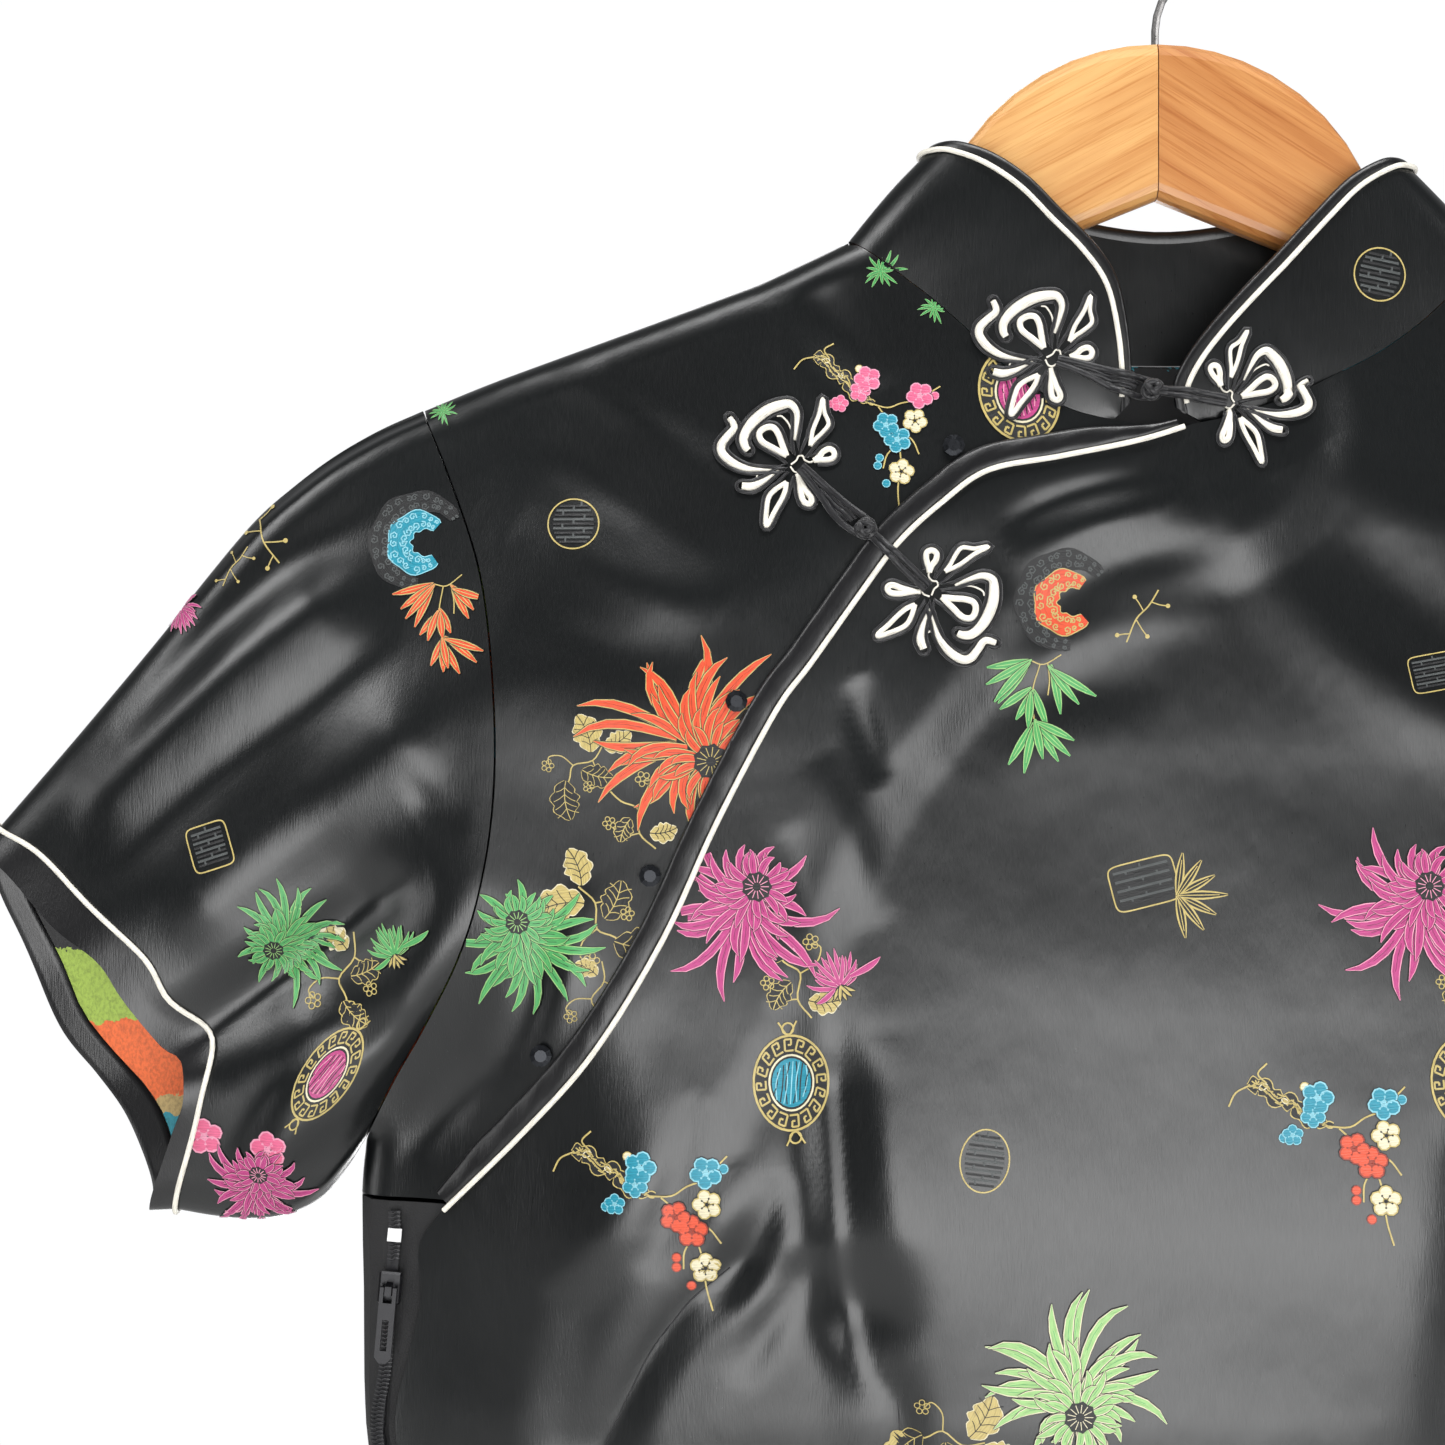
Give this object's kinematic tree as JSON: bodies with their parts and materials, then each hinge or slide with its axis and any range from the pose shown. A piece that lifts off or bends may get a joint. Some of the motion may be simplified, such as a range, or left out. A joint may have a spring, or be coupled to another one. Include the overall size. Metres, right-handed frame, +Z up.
{
  "type": "cheongsam dress on a hanger",
  "caption": "Short-sleeved satin brocade cheongsam with standing collar, slanting opening, frog fastenings and side zip, hung flat on a wooden hanger.",
  "frame": {"origin": "inner top of the hanger's hook, the point that rests on a rod", "axes": "+Z up, +X to the right of somebody who looks at the dress's front, the front faces -Y"},
  "size_m": [0.664, 0.064, 1.0992],
  "materials": {
    "brocade": "black satin ground with a coloured woven figure",
    "satin": "plain black satin",
    "cord": "cream cord with black edges",
    "stud": "dark lacquered",
    "zip_tape": "matt woven tape",
    "zip_coil": "matt nylon",
    "zip_stop": "white",
    "zip_metal": "black enamel",
    "wood": "clear satin varnish",
    "steel": "plain drawn rod"
  },
  "bodies": {
    "dress": {"front_panel": "brocade", "under_flap": "brocade", "back_panel": "brocade", "sleeve_left": "brocade", "sleeve_right": "brocade", "sleeve_band_left": "satin", "sleeve_band_right": "satin", "sleeve_piping_left": "cord", "sleeve_piping_right": "cord", "collar": "brocade", "collar_binding": "satin", "collar_piping": "cord", "opening_binding": "satin", "opening_piping": "cord", "frog_collar_left": "cord", "frog_collar_right": "cord", "frog_chest_upper": "cord", "frog_chest_lower": "cord", "loop_collar": "satin", "loop_chest": "satin", "knot_collar": "satin", "knot_chest": "satin", "press_stud_1": "stud", "press_stud_2": "stud", "press_stud_3": "stud", "press_stud_4": "stud", "zip_tape": "zip_tape", "zip_chain": "zip_coil", "zip_stop": "zip_stop", "zip_slider": "zip_metal", "hanger_arm_left": "wood", "hanger_arm_right": "wood", "hanger_hook": "steel"},
    "pull": {"zip_pull": "zip_metal"}
  },
  "joints": [
    {"name": "pull_hinge", "type": "hinge", "parent": "dress", "child": "pull", "pos_m": [-0.21358, -0.01647, -0.40797], "axis": [-0.9962, 0, 0.0872], "range_deg": [0, 160]}
  ]
}
